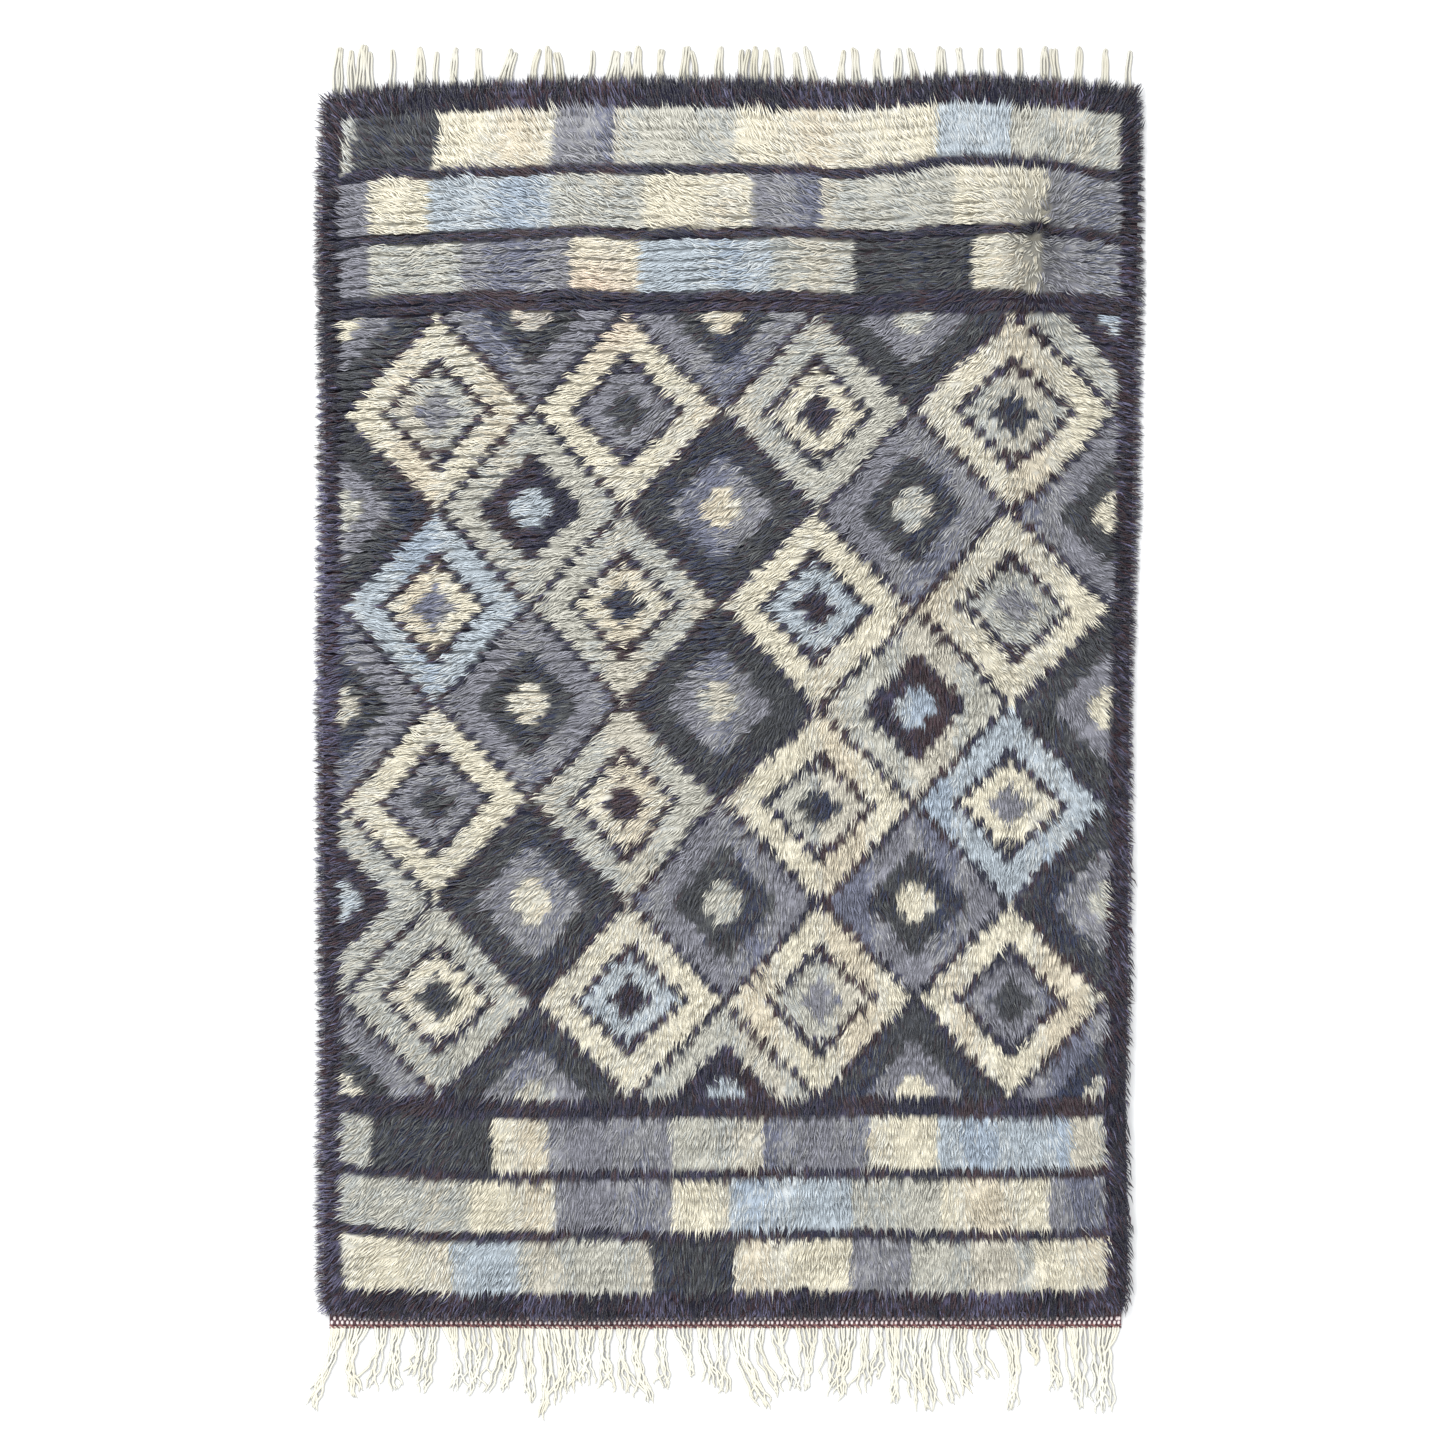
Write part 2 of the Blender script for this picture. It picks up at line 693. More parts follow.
def twist_stripes(tree, plies, turns):
    """Grooves between twisted plies: 0 in a groove, 1 on a ply."""
    place = node(tree, "ShaderNodeUVMap", uv_map="along_strand")
    split = node(tree, "ShaderNodeSeparateXYZ")
    tree.links.new(place.outputs[0], split.inputs[0])
    round_it = math_node(tree, "MULTIPLY", split.outputs["X"], plies * math.pi)
    along_it = math_node(tree, "MULTIPLY", split.outputs["Y"], turns * math.pi)
    phase = math_node(tree, "ADD", round_it, along_it)
    return math_node(tree, "ABSOLUTE", math_node(tree, "SINE", phase))


def fibre_noise(tree, scale, detail=3.0):
    """Fine uneven fibres on the piece's own coordinates."""
    place = node(tree, "ShaderNodeTexCoord")
    fibres = node(tree, "ShaderNodeTexNoise")
    fibres.inputs["Scale"].default_value = scale
    fibres.inputs["Detail"].default_value = detail
    tree.links.new(place.outputs["Object"], fibres.inputs["Vector"])
    return fibres.outputs["Fac"]


def spread(tree, value, low, high):
    """Spreads a value of 0 to 1 over another range."""
    made = node(tree, "ShaderNodeMapRange")
    tree.links.new(value, made.inputs["Value"])
    made.inputs["To Min"].default_value = low
    made.inputs["To Max"].default_value = high
    return made.outputs["Result"]


def tint(tree, colour, factor):
    """A colour made lighter or darker by a factor."""
    made = node(tree, "ShaderNodeVectorMath", operation="SCALE")
    tree.links.new(colour, made.inputs[0])
    tree.links.new(factor, made.inputs["Scale"])
    return made.outputs["Vector"]


def add_bump(tree, shader, height, depth, strength):
    bump = node(tree, "ShaderNodeBump")
    bump.inputs["Distance"].default_value = depth
    bump.inputs["Strength"].default_value = strength
    tree.links.new(height, bump.inputs["Height"])
    tree.links.new(bump.outputs["Normal"], shader.inputs["Normal"])


def wool_material(name, plies, turns, groove, sheen):
    """Dyed wool that reads its colour from the attribute of each strand."""
    material, shader = principled(name, roughness=0.95, sheen=sheen)
    tree = material.node_tree
    dyed = node(tree, "ShaderNodeAttribute", attribute_name="wool_colour")
    stripes = twist_stripes(tree, plies, turns)
    fibres = fibre_noise(tree, scale=900.0)
    shading = math_node(
        tree, "MULTIPLY", spread(tree, stripes, groove, 1.05), spread(tree, fibres, 0.82, 1.18)
    )
    tree.links.new(tint(tree, dyed.outputs["Color"], shading), shader.inputs["Base Color"])
    tree.links.new(spread(tree, fibres, 0.86, 1.0), shader.inputs["Roughness"])
    height = math_node(tree, "ADD", stripes, math_node(tree, "MULTIPLY", fibres, 0.5))
    add_bump(tree, shader, height, depth=0.0003, strength=0.5)
    return material


shag_wool = wool_material("shag_wool", plies=2, turns=7, groove=0.82, sheen=0.25)

# %% [markdown]
# ## Knots of the shag
#
# A knot stands at each crossing of the chart, and four strands rise from it. They
# spread over the room between the rows, then gather to a pointed lock. Each lies
# the way the chart says and climbs from its root to its tip, so that its tip
# covers the roots in front of it, like thatch.

# %% Set the knots
STRANDS_PER_KNOT = 4
STRAND_FAN = np.array((-0.75, -0.25, 0.25, 0.75))
REACH_ALONG_ROW = 0.0240
REACH_ACROSS_ROWS = 0.0280
REACH_SPREAD = 0.10
ROOT_HEIGHT = 0.0130
MIDDLE_HEIGHT = 0.0176
TIP_HEIGHT = 0.0196
MIDDLE_SHARE = 0.50
RIDGE_SHARE = 0.80
RIDGE_DROP = 0.0027
STRAND_RADIUS = 0.00105
STANDING = 0.55
STANDING_RISE = 0.0030
STANDING_LIGHTNESS = 0.66
OVERHANG = 0.0210
LOWER_OVERHANG = 0.0125
RIGHT_ROOM_Y = (-0.834, -0.688, -0.542, -0.397, 0.040, 0.186, 0.331, 0.622, 0.695, 0.914)
RIGHT_ROOM = (0.007, 0.003, 0.002, 0.007, 0.010, 0.013, 0.020, 0.019, 0.014, 0.011)
SWIRL = math.radians(11)
KNOT_SWIRL = math.radians(5)
STANDING_SWIRL = math.radians(24)
UNEVEN_LENGTH = 0.12
UNEVEN_ROOT = 0.0035
TUFT_COLUMNS = 2.4
TUFT_PULL = 0.42
RIM_BAND = 0.014
RIM_PULL = 1.2
ROW_WANDER = 0.0022
BANDS = 5

column, row = np.meshgrid(np.arange(COLUMNS), np.arange(ROWS))
column, row = column.ravel(), row.ravel()
knot_x, knot_y = pile_place((column + 0.5) / COLUMNS, (row + 0.5) / ROWS)
knot_wool = pattern(column, row)
inside = np.minimum(np.minimum(column, COLUMNS - 1 - column), np.minimum(row, ROWS - 1 - row))
wander = ROW_WANDER * ripple(knot_x, knot_y, 0.25, seed=3) * np.minimum(inside / 4, 1)
knot_y = knot_y + wander
row_pitch = (line_y[-1] - line_y[0]) / ROWS
column_pitch = (line_x[-1] - line_x[0]) / COLUMNS
print("knots", len(knot_x), "row pitch in mm", round(1000 * row_pitch, 2))


# %% Lay the strands of a set of knots
def hang_over_rim(lines, side_floor, end_floor):
    """Lets the part of a strand that hangs over the rim droop to what lies there."""
    sides, ends = beyond_rim(lines[..., 0], lines[..., 1])
    drooped = lines[..., 2] - 1.0 * sides - 0.75 * ends
    lowest = np.where(ends > sides, end_floor, side_floor)
    lines[..., 2] = np.where(sides + ends > 0, np.maximum(drooped, lowest), lines[..., 2])


def room_beyond(x, y):
    """How far wool may hang over the nearest side and over the nearest end."""
    right = np.interp(y - PHOTO_Y, RIGHT_ROOM_Y, RIGHT_ROOM)
    side = np.where(x > PHOTO_X, right, OVERHANG)
    return side, np.where(y < PHOTO_Y, LOWER_OVERHANG, OVERHANG)


def strand_lines(x, y, angle, combed, tuft, draw):
    """Middle lines of the four strands of each knot: strands x 3 rings x 3."""
    knots = len(x)
    sideways, down = np.abs(np.cos(angle)), np.abs(np.sin(angle))
    reach = REACH_ALONG_ROW * sideways**2 + REACH_ACROSS_ROWS * down**2
    reach = reach * (1 + REACH_SPREAD * draw.standard_normal(knots).clip(-2, 2))
    tip_y = y + reach * np.sin(angle)
    tip_x = x + reach * np.cos(angle)
    sides, ends = beyond_rim(tip_x, tip_y)
    side_room, end_room = room_beyond(tip_x, tip_y)
    uneven_rim = draw.uniform(0.72, 1.0, knots)
    over = np.maximum(sides - side_room * uneven_rim, ends - end_room * uneven_rim)
    reach = (reach - np.maximum(over, 0)) * (STANDING + (1 - STANDING) * combed)
    bend = 0.0012 * draw.standard_normal(knots)
    lift = 0.0018 * ripple(x, y, 0.07, seed=5) + 0.0006 * draw.standard_normal(knots)
    lift = lift + STANDING_RISE * (1 - combed)
    room = 0.5 * (RIDGE_SHARE * row_pitch * sideways + 1.1 * column_pitch * down)
    ahead = np.stack([np.cos(angle), np.sin(angle)], axis=1)
    aside = np.stack([-np.sin(angle), np.cos(angle)], axis=1)
    lines = np.empty((knots, STRANDS_PER_KNOT, 3, 3))
    fan = STRAND_FAN + 0.12 * draw.standard_normal((knots, STRANDS_PER_KNOT))
    uneven = 0.08 + UNEVEN_LENGTH * down[:, None]
    length = 1 + uneven * draw.uniform(-1.7, 1.2, fan.shape) - 0.08 * np.abs(fan)
    shift = UNEVEN_ROOT * down[:, None] * draw.uniform(-1, 1, fan.shape)
    shares = np.array((0.0, MIDDLE_SHARE, 1.0))
    gather = (0.85, 1.0, 0.30 + 0.50 * down[:, None])
    curl = np.array((0.0, 1.0, -0.6))
    heights = np.array((ROOT_HEIGHT, MIDDLE_HEIGHT, TIP_HEIGHT))
    loose = np.array((0.0, 0.0003, 0.0008))
    drop = RIDGE_DROP * (sideways**4)[:, None] * fan**2
    for ring in range(3):
        forward = reach[:, None] * length * shares[ring] + shift
        spread_out = fan * room[:, None] * gather[ring] + bend[:, None] * curl[ring]
        spread_out = spread_out + shares[ring] ** 2 * tuft[:, None]
        spread_out = spread_out + loose[ring] * draw.standard_normal(fan.shape)
        for axis, start in enumerate((x, y)):
            moved = forward * ahead[:, None, axis] + spread_out * aside[:, None, axis]
            lines[:, :, ring, axis] = start[:, None] + moved
        lines[:, :, ring, 2] = heights[ring] - drop * (ring > 0) + lift[:, None] * shares[ring]
        lines[:, :, ring, 2] += loose[ring] * draw.standard_normal(fan.shape)
    return lines.reshape(-1, 3, 3)


def paint_along(colours, draw):
    """Darker roots, slightly faded tips, and strands that differ, most in dark wool."""
    darkness = 1 - np.sqrt(colours.mean(axis=1)) / 0.9
    own = (0.06 + 0.27 * np.clip(darkness, 0, 1)) * draw.standard_normal(len(colours))
    own = np.clip(1 + own, 0.5, 1.6)[:, None, None]
    along = np.array((0.80, 0.98, 1.03))[None, :, None]
    return np.clip(colours[:, None] * along * own, 0, 1)


def tuft_offset(column, row):
    """How many columns a knot is off the middle of its tuft, which differs by row."""
    place = column + 1.7 * row + 0.6 * np.sin(2.3 * row + 0.7 * column)
    return place % TUFT_COLUMNS - TUFT_COLUMNS / 2


def lean_outward(x, y, angle):
    """Turns the direction of wool near the rim towards the outside."""
    left, right = np.interp(y, line_y, left_edge), np.interp(y, line_y, right_edge)
    lower, upper = np.interp(x, line_x, lower_edge), np.interp(x, line_x, upper_edge)
    across = np.exp((x - right) / RIM_BAND) - np.exp((left - x) / RIM_BAND)
    along = np.exp((y - upper) / RIM_BAND) - np.exp((lower - y) / RIM_BAND)
    pull = RIM_PULL * room_beyond(x, y)[0] / OVERHANG
    return np.arctan2(np.sin(angle) + RIM_PULL * along, np.cos(angle) + pull * across)


def shag_band(name, chosen, seed):
    """All strands of the chosen knots, as one piece."""
    draw = np.random.default_rng(seed)
    x, y = knot_x[chosen], knot_y[chosen]
    angle, combed = lie_of_wool(x, y)
    angle = angle + SWIRL * ripple(x, y, 0.11, seed=7)
    own_swirl = KNOT_SWIRL + STANDING_SWIRL * (1 - combed)
    angle = angle + own_swirl * draw.standard_normal(len(x))
    angle = lean_outward(x, y, angle)
    tuft = -TUFT_PULL * tuft_offset(column[chosen], row[chosen]) * column_pitch
    lines = strand_lines(x, y, angle, combed, -tuft * np.sin(angle), draw)
    hang_over_rim(lines, side_floor=0.0016, end_floor=0.0048)
    colours = shade_colours(
        np.repeat(knot_wool[chosen], STRANDS_PER_KNOT), lines[:, 0, 0], lines[:, 0, 1], draw
    )
    shaded = STANDING_LIGHTNESS + (1 - STANDING_LIGHTNESS) * combed
    colours = colours * np.repeat(shaded, STRANDS_PER_KNOT)[:, None]
    radii = STRAND_RADIUS * np.array((0.85, 1.08, 1.0)) * np.ones((len(lines), 1))
    rolls = draw.uniform(0, TURN, len(lines))
    points = strand_points(wool_strand, lines, radii, rolls, flatness=0.85)
    return fill_mesh(name, wool_strand, points, paint_along(colours, draw), shag_wool)


shag = []
for band in range(BANDS):
    chosen = row * BANDS // ROWS == band
    shag.append(shag_band(f"shag_{band + 1}", chosen, seed=100 + band))
print("faces in the first band", len(shag[0].data.polygons))

# %% [markdown]
# ## Skirt at the rim
#
# At the rim the outermost locks would leave the slab's wall bare. A second ring of
# shorter strands grows out of the wall and droops to the floor, or onto the weave
# at the ends. It is laid with the same tools, from places along the outline.

# %% Grow the skirt
SKIRT_PITCH_SIDE = 0.0052
SKIRT_PITCH_END = 0.0048
SKIRT_REACH = 0.0150


def rim_line(across, along):
    """Points on the outline with the direction out of it."""
    x, y = pile_place(across, along)
    middle_x = np.where(np.abs(across - 0.5) > np.abs(along - 0.5), np.sign(across - 0.5), 0)
    middle_y = np.where(middle_x == 0, np.sign(along - 0.5), 0)
    return x, y, np.arctan2(middle_y, middle_x)


def skirt_places():
    up = np.arange(0.004, 0.996, SKIRT_PITCH_SIDE / (line_y[-1] - line_y[0]))
    over = np.arange(0.004, 0.996, SKIRT_PITCH_END / (line_x[-1] - line_x[0]))
    parts = [
        rim_line(np.zeros(len(up)), up),
        rim_line(np.ones(len(up)), up),
        rim_line(over, np.zeros(len(over))),
        rim_line(over, np.ones(len(over))),
    ]
    return [np.concatenate(values) for values in zip(*parts)]


skirt_draw = np.random.default_rng(21)
skirt_x, skirt_y, outward = skirt_places()
combed, _ = lie_of_wool(skirt_x, skirt_y)
outward_share = 0.75
skirt_angle = np.arctan2(
    outward_share * np.sin(outward) + (1 - outward_share) * np.sin(combed),
    outward_share * np.cos(outward) + (1 - outward_share) * np.cos(combed),
)
at_side = np.abs(np.cos(outward)) > 0.5
tuft_phase = (skirt_y - line_y[0]) / row_pitch % 1 - 0.5
tuft_phase = np.where(at_side, tuft_phase, (skirt_x - line_x[0]) / (2 * column_pitch) % 1 - 0.5)
tuft_share = 1.2 - 1.1 * np.abs(tuft_phase)
pull = -0.5 * tuft_phase * row_pitch
side_room, end_room = room_beyond(skirt_x, skirt_y)
skirt_room = np.where(at_side, side_room, end_room)
skirt_lines = []
for root, start in ((0.0058, 0.006), (0.0090, 0.010), (0.0122, 0.014)):
    swing = skirt_angle + math.radians(12) * skirt_draw.standard_normal(len(skirt_x))
    ahead = np.stack([np.cos(swing), np.sin(swing)], axis=1)
    reach = SKIRT_REACH * (1 + 0.2 * skirt_draw.standard_normal(len(skirt_x)))
    reach = np.minimum(reach * tuft_share, skirt_room)
    lines = np.empty((len(skirt_x), 3, 3))
    for ring, share in enumerate((0.0, 0.5, 1.0)):
        forward = (start + reach) * share - start
        lines[:, ring, 0] = skirt_x + forward * ahead[:, 0] + share * pull * ~at_side
        lines[:, ring, 1] = skirt_y + forward * ahead[:, 1] + share * pull * at_side
        lines[:, ring, 2] = root + 0.002 * math.sin(math.pi * share)
    hang_over_rim(lines, side_floor=0.0014, end_floor=0.0044)
    skirt_lines.append(lines)
skirt_lines = np.concatenate(skirt_lines)
skirt_colours = shade_colours(
    np.full(len(skirt_lines), wool("border")),
    skirt_lines[:, 0, 0],
    skirt_lines[:, 0, 1],
    skirt_draw,
)
skirt_radii = STRAND_RADIUS * np.array((0.9, 1.1, 1.0)) * np.ones((len(skirt_lines), 1))
skirt_rolls = skirt_draw.uniform(0, TURN, len(skirt_lines))
skirt_points = strand_points(wool_strand, skirt_lines, skirt_radii, skirt_rolls, flatness=0.85)
skirt = fill_mesh(
    "shag_skirt", wool_strand, skirt_points, paint_along(skirt_colours, skirt_draw), shag_wool
)
print("skirt strands", len(skirt_lines))

# %% [markdown]
# ## Bed of the shag
#
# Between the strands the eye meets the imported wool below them. One closed slab
# stands for it, with a rounded ridge for each row where the wool is combed
# sideways. It starts as a grid, whose points are placed like the knots, and its
# rim is drawn down to the weave. The wool at a place comes from a knot further
# back, so the pattern is read there, and the partings between rows are darker.

# %% Model the bed
BED_COLUMNS = 116
BED_ROWS = 240
BED_HEIGHT = 0.0148
BED_GROOVE = 0.0058
BED_RIM = 0.0085
BED_LIGHTNESS = 0.80
PARTING_LIGHTNESS = 0.42
STANDING_BED_LIGHTNESS = 0.26


def bed_material():
    material, shader = principled("shag_bed_wool", roughness=0.95, sheen=0.1)
    tree = material.node_tree
    dyed = node(tree, "ShaderNodeAttribute", attribute_name="wool_colour")
    fibres = fibre_noise(tree, scale=420.0, detail=4.0)
    shaded = tint(tree, dyed.outputs["Color"], spread(tree, fibres, 0.75, 1.25))
    tree.links.new(shaded, shader.inputs["Base Color"])
    tree.links.new(spread(tree, fibres, 0.88, 1.0), shader.inputs["Roughness"])
    add_bump(tree, shader, fibres, depth=0.002, strength=0.8)
    return material


bed_shape = bmesh.new()
bmesh.ops.create_grid(bed_shape, x_segments=BED_COLUMNS, y_segments=BED_ROWS, size=0.5)
for vert in bed_shape.verts:
    x, y = pile_place(vert.co.x + 0.5, vert.co.y + 0.5)
    vert.co = (x, y, BED_RIM if vert.is_boundary else BED_HEIGHT)
grown = bmesh.ops.extrude_edge_only(
    bed_shape, edges=[edge for edge in bed_shape.edges if edge.is_boundary]
)
for vert in new_of(bmesh.types.BMVert, grown):
    vert.co.z = underside
bottom = [edge for edge in new_of(bmesh.types.BMEdge, grown) if edge.is_boundary]
bmesh.ops.contextual_create(bed_shape, geom=bottom)
bmesh.ops.recalc_face_normals(bed_shape, faces=bed_shape.faces)
bed = object_from(bed_shape, "shag_bed", [bed_material()])

# %% Raise and colour the bed
bed_count = len(bed.data.vertices)
bed_points = np.empty(3 * bed_count, np.float32)
bed.data.vertices.foreach_get("co", bed_points)
bed_points = bed_points.reshape(-1, 3)
top = bed_points[:, 2] > BED_RIM + 1e-4
bed_x, bed_y = bed_points[:, 0], bed_points[:, 1]
bed_angle, bed_combed = lie_of_wool(bed_x, bed_y)
bed_wander = ROW_WANDER * ripple(bed_x, bed_y, 0.25, seed=3)
parting = 0.5 - 0.5 * np.cos(TURN * ROWS * pile_shares(bed_x, bed_y - bed_wander)[1])
parting = (1 - parting) ** 2 * np.abs(np.cos(bed_angle)) ** 3
bed_points[top, 2] -= (BED_GROOVE * parting)[top]
bed_points[top, 2] += (0.0018 * ripple(bed_x, bed_y, 0.07, seed=5))[top]
bed.data.vertices.foreach_set("co", bed_points.ravel())
bed_back = 0.42 * REACH_ALONG_ROW
bed_across, bed_along = pile_shares(
    bed_x - bed_back * np.cos(bed_angle), bed_y - bed_wander - bed_back * np.sin(bed_angle)
)
bed_wools = pattern(
    np.clip((COLUMNS * bed_across).astype(int), 0, COLUMNS - 1),
    np.clip((ROWS * bed_along).astype(int), 0, ROWS - 1),
)
bed_light = BED_LIGHTNESS + (PARTING_LIGHTNESS - BED_LIGHTNESS) * parting
bed_light *= STANDING_BED_LIGHTNESS + (1 - STANDING_BED_LIGHTNESS) * bed_combed**2
bed_colours = np.ones((bed_count, 4))
bed_colours[:, :3] = bed_light[:, None] * shade_colours(
    bed_wools, bed_x, bed_y, np.random.default_rng(31)
)
bed_layer = bed.data.color_attributes.new("wool_colour", "FLOAT_COLOR", "POINT")
bed_layer.data.foreach_set("color", bed_colours.astype(np.float32).ravel())
bed.data.polygons.foreach_set("use_smooth", np.ones(len(bed.data.polygons), bool))
print("bed faces", len(bed.data.polygons))

# %% [markdown]
# ## Woven ground
#
# The knots stand on a firm cloth: white warp threads run along the rug, and dark
# wool weft is beaten down over them. It shows only as a narrow strip at the lower
# end. The sheet is a grid of the frame's outline, thickened by extruding it, with
# fine weft ribs drawn by its material.

# %% Weave the ground
GROUND_COLUMNS = 24
GROUND_ROWS = 36
WARP_PITCH = 0.0072
WEFT_PITCH = 0.0021

ground_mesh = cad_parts["ground_weave"].data
outline = np.array([vert.co for vert in ground_mesh.vertices])
selvedge = sorted({round(float(y), 5) for y in outline[:, 1]})
selvedge_left = [outline[np.abs(outline[:, 1] - y) < 1e-4, 0].min() for y in selvedge]
selvedge_right = [outline[np.abs(outline[:, 1] - y) < 1e-4, 0].max() for y in selvedge]


def weave_material():
    """Dark weft ribs that go over and under a paler warp."""
    material, shader = principled("ground_wool", roughness=0.92, sheen=0.15)
    tree = material.node_tree
    place = node(tree, "ShaderNodeTexCoord")
    split = node(tree, "ShaderNodeSeparateXYZ")
    tree.links.new(place.outputs["Object"], split.inputs[0])
    across = math_node(tree, "MULTIPLY", split.outputs["X"], TURN / WARP_PITCH / 2)
    along = math_node(tree, "MULTIPLY", split.outputs["Y"], TURN / WEFT_PITCH / 2)
    warp = math_node(tree, "SINE", across)
    weft = math_node(tree, "SINE", along)
    woven = math_node(tree, "MULTIPLY", warp, weft)
    fibres = fibre_noise(tree, scale=700.0)
    ribs = math_node(tree, "ABSOLUTE", woven)
    mix = node(tree, "ShaderNodeMix", data_type="RGBA")
    mix.inputs["A"].default_value = (0.055, 0.033, 0.042, 1)
    mix.inputs["B"].default_value = (0.170, 0.095, 0.105, 1)
    tree.links.new(ribs, mix.inputs["Factor"])
    shaded = tint(tree, mix.outputs["Result"], spread(tree, fibres, 0.6, 1.4))
    tree.links.new(shaded, shader.inputs["Base Color"])
    tree.links.new(spread(tree, fibres, 0.85, 1.0), shader.inputs["Roughness"])
    add_bump(tree, shader, woven, depth=0.0006, strength=0.7)
    return material


weave_shape = bmesh.new()
bmesh.ops.create_grid(weave_shape, x_segments=GROUND_COLUMNS, y_segments=GROUND_ROWS, size=0.5)
for vert in weave_shape.verts:
    y = ground_low.y + (vert.co.y + 0.5) * (ground_high.y - ground_low.y)
    left = np.interp(y, selvedge, selvedge_left)
    right = np.interp(y, selvedge, selvedge_right)
    vert.co = (left + (vert.co.x + 0.5) * (right - left), y, ground_low.z)
thickened = bmesh.ops.extrude_face_region(weave_shape, geom=weave_shape.faces[:])
raised = new_of(bmesh.types.BMVert, thickened)
bmesh.ops.translate(weave_shape, verts=raised, vec=(0, 0, ground_high.z - ground_low.z))
bmesh.ops.recalc_face_normals(weave_shape, faces=weave_shape.faces)
weave = object_from(weave_shape, "woven_sheet", [weave_material()])
print("weave faces", len(weave.data.polygons))

# %% [markdown]
# ## Cotton
#
# The warp is unbleached cotton, spun from three plies. Fringes, loops and the warp
# that shows in the weave share one material: the map round the thread draws three
# slanted grooves, and a slow noise makes some stretches more yellow.


# %% Spin the cotton material
FLANK_LIGHTNESS = 0.40


def dusty_flanks(tree):
    """A thread that lies on the floor is clean on top and darker at its sides."""
    place = node(tree, "ShaderNodeUVMap", uv_map="along_strand")
    split = node(tree, "ShaderNodeSeparateXYZ")
    tree.links.new(place.outputs[0], split.inputs[0])
    height = math_node(tree, "SINE", math_node(tree, "MULTIPLY", split.outputs["X"], TURN))
    height = math_node(tree, "POWER", math_node(tree, "MAXIMUM", height, 0.0), 0.5)
    return spread(tree, height, FLANK_LIGHTNESS, 1.0)


def cotton_material(name, turns, pale, yellow):
    material, shader = principled(name, roughness=0.9, sheen=0.2)
    tree = material.node_tree
    grooves = twist_stripes(tree, plies=3, turns=turns)
    patches = fibre_noise(tree, scale=14.0, detail=2.0)
    fibres = fibre_noise(tree, scale=1100.0)
    mix = node(tree, "ShaderNodeMix", data_type="RGBA")
    mix.inputs["A"].default_value = (*linear(pale), 1)
    mix.inputs["B"].default_value = (*linear(yellow), 1)
    tree.links.new(spread(tree, patches, -0.6, 1.6), mix.inputs["Factor"])
    narrow = math_node(tree, "POWER", grooves, 0.6)
    shading = math_node(
        tree, "MULTIPLY", spread(tree, narrow, 0.86, 1.03), spread(tree, fibres, 0.94, 1.06)
    )
    shading = math_node(tree, "MULTIPLY", shading, dusty_flanks(tree))
    tree.links.new(tint(tree, mix.outputs["Result"], shading), shader.inputs["Base Color"])
    tree.links.new(spread(tree, fibres, 0.82, 0.98), shader.inputs["Roughness"])
    add_bump(tree, shader, grooves, depth=0.0005, strength=0.6)
    return material


cut_cotton = cotton_material("cut_cotton", 36, (242, 241, 230), (235, 230, 211))
loop_cotton = cotton_material("loop_cotton", 54, (221, 219, 209), (206, 201, 183))

# %% [markdown]
# ## Warp that shows in the weave
#
# Just above the cord, two rows of pale dots show where the warp passes over the
# weft, a little pink from the dyed wool beside it. Each dot is a very short
# thread that arches over the weft, so the same strand model serves, blunt at both
# ends and sunk into the sheet.

# %% Dot the weave with warp
DOT_ROWS = (0.0030, 0.0092)
DOT_LENGTH = 0.0046
DOT_RADIUS = 0.0022

dot_draw = np.random.default_rng(41)
dot_strand = model_strand(sides=6, rings=4, pointed=False)
dot_lines = []
for number, rise in enumerate(DOT_ROWS):
    places = np.arange(selvedge_left[0] + 0.004, selvedge_right[0] - 0.003, WARP_PITCH)
    places = places + 0.5 * WARP_PITCH * (number % 2) * (places < selvedge_right[0] - 0.008)
    places = places + 0.0006 * dot_draw.standard_normal(len(places))
    lines = np.empty((len(places), 4, 3))
    for ring, share in enumerate((0.0, 0.33, 0.67, 1.0)):
        lines[:, ring, 0] = places + 0.0004 * (share - 0.5)
        lines[:, ring, 1] = ground_low.y + rise + (share - 0.5) * DOT_LENGTH
        lines[:, ring, 2] = ground_high.z - 0.0005 + 0.0010 * math.sin(math.pi * share)
    dot_lines.append(lines)
dot_lines = np.concatenate(dot_lines)
dot_radii = DOT_RADIUS * np.array((0.7, 1.0, 1.0, 0.7)) * np.ones((len(dot_lines), 1))
dot_points = strand_points(dot_strand, dot_lines, dot_radii, np.zeros(len(dot_lines)), 0.8)
dot_cotton = cotton_material("dot_cotton", 3, (250, 240, 238), (240, 218, 216))
dots = fill_mesh("warp_dots", dot_strand, dot_points, None, dot_cotton)
print("warp dots", len(dot_lines))

# %% [markdown]
# ## Twined cord
#
# The lower end of the weave is closed by a maroon cord: two plies that cross over
# each other between every two warp threads. Each ply is a helix, drawn as a strand
# with many rings. The second one is half a turn ahead.

# %% Twine the cord
CORD_TWISTS = 80
RINGS_PER_TURN = 12
CORD_COLOURS = ((150, 102, 100), (92, 60, 62))

CORD_SWING = 0.0023
PLY_RADIUS = 0.0016

cord_middle_y = (cord_low.y + cord_high.y) / 2 + 0.0006
cord_height = cord_high.z - cord_low.z
ply_rise = cord_height / 2 - PLY_RADIUS


def cord_material():
    return wool_material("twined_wool", plies=2, turns=700, groove=0.6, sheen=0.2)


